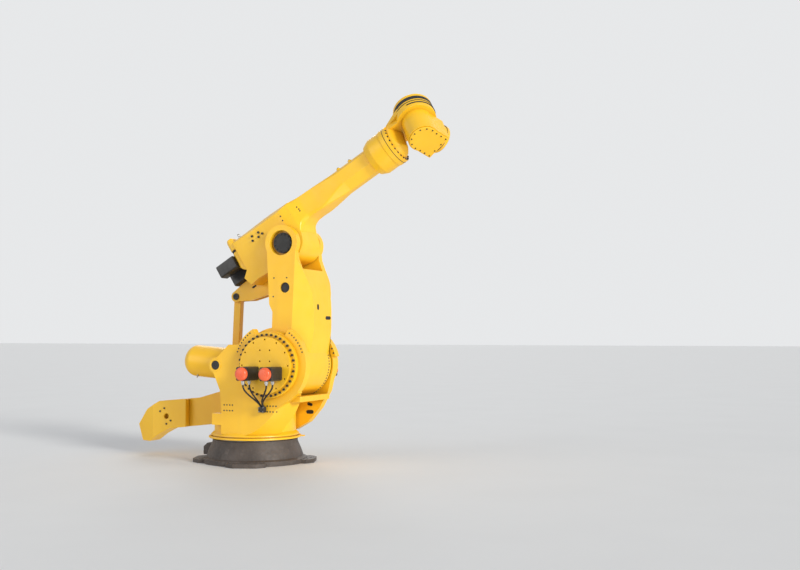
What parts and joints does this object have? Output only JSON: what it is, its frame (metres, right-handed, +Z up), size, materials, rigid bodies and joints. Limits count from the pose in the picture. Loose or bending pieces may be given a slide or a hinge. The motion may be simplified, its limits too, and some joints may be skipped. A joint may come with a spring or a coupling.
{
  "type": "industrial robot arm",
  "caption": "Heavy six-axis industrial robot arm on a bolted cast base, with a parallel-link forearm drive, counterweight lever, gas balancer and a round tool flange.",
  "frame": {"origin": "centre of the base on the floor, on the slewing axis", "axes": "+X forward, the way the arm reaches; +Z up along the slewing axis; +Y to the robot's left"},
  "size_m": [4.8131, 2.02, 4.8154],
  "materials": {
    "yellow_paint": "satin",
    "cast_iron": "matte",
    "black_paint": "satin",
    "red_plastic": "gloss",
    "black_plastic": "matte",
    "bare_steel": "machined",
    "black_rubber": "matte"
  },
  "bodies": {
    "base": {"base_casting": "cast_iron", "base_connector": "cast_iron", "slew_bearing": "bare_steel"},
    "turret": {"turret_body": "yellow_paint", "near_drive_plate": "yellow_paint", "far_drive_plate": "yellow_paint", "near_motors": "black_paint", "near_motor_caps": "red_plastic", "far_motors": "black_paint", "far_motor_caps": "red_plastic", "motor_plugs": "bare_steel", "motor_leads": "black_rubber", "connector_box": "black_plastic", "balancer_trunnion": "black_plastic"},
    "balancer": {"balancer_cylinder": "yellow_paint"},
    "lower_arm": {"lower_arm": "yellow_paint", "arm_plug": "black_plastic", "elbow_cap": "black_plastic"},
    "elbow": {"elbow_shaft": "bare_steel"},
    "forearm": {"forearm": "yellow_paint", "wrist_housing": "yellow_paint", "rear_housing": "yellow_paint", "forearm_motors": "black_paint", "link_lug": "yellow_paint", "upper_link_pin": "bare_steel"},
    "lever": {"lever": "yellow_paint", "counterweight": "yellow_paint"},
    "link_pin": {"lower_link_pin": "bare_steel"},
    "link_rod": {"link_rod": "yellow_paint"},
    "wrist": {"wrist_body": "yellow_paint", "wrist_rings": "black_rubber"},
    "tool_head": {"tool_head": "yellow_paint", "head_cover": "yellow_paint"},
    "tool_flange": {"tool_flange": "bare_steel"}
  },
  "joints": [
    {"name": "slew", "type": "hinge", "parent": "base", "child": "turret", "pos_m": [0, 0, 0.31], "axis": [0, 0, 1], "range_deg": [-165, 165]},
    {"name": "shoulder", "type": "hinge", "parent": "turret", "child": "lower_arm", "pos_m": [0.515, 0, 1.31], "axis": [0, 1, 0], "range_deg": [-55, 25]},
    {"name": "balancer_swing", "type": "hinge", "parent": "turret", "child": "balancer", "pos_m": [-0.296, 0, 1.303], "axis": [0, 1, 0], "range_deg": [-7.5, 16.5]},
    {"name": "elbow_level", "type": "hinge", "parent": "lower_arm", "child": "elbow", "pos_m": [0.58758, 0, 2.90835], "axis": [0, 1, 0], "range_deg": [-25, 55]},
    {"name": "elbow_swing", "type": "hinge", "parent": "elbow", "child": "forearm", "pos_m": [0.58758, 0, 2.90835], "axis": [0, 1, 0], "range_deg": [-4, 75]},
    {"name": "lever_swing", "type": "hinge", "parent": "turret", "child": "lever", "pos_m": [0.515, 0, 1.31], "axis": [0, 1, 0], "range_deg": [-4, 75]},
    {"name": "link_level", "type": "hinge", "parent": "lever", "child": "link_pin", "pos_m": [-0.43908, 0, 0.63151], "axis": [0, 1, 0], "range_deg": [-75, 4]},
    {"name": "link_swing", "type": "hinge", "parent": "link_pin", "child": "link_rod", "pos_m": [-0.43908, 0, 0.63151], "axis": [0, 1, 0], "range_deg": [-55, 25]},
    {"name": "wrist_roll", "type": "hinge", "parent": "forearm", "child": "wrist", "pos_m": [2.02431, 0, 4.15236], "axis": [0.8526, 0, 0.5225], "range_deg": [-420, 300]},
    {"name": "wrist_bend", "type": "hinge", "parent": "wrist", "child": "tool_head", "pos_m": [2.37815, 0, 4.36919], "axis": [-0.4525, 0.5, 0.7384], "range_deg": [-198, 42]},
    {"name": "tool_roll", "type": "hinge", "parent": "tool_head", "child": "tool_flange", "pos_m": [2.54262, 0.3219, 4.25201], "axis": [0.4328, 0.8471, -0.3084], "range_deg": [-360, 360]}
  ],
  "couplings": [
    {"joint": "balancer_swing", "follows": "shoulder", "ratio": -0.3},
    {"joint": "elbow_level", "follows": "shoulder", "ratio": -1},
    {"joint": "lever_swing", "follows": "elbow_swing", "ratio": 1},
    {"joint": "link_level", "follows": "elbow_swing", "ratio": -1},
    {"joint": "link_swing", "follows": "shoulder", "ratio": 1}
  ]
}
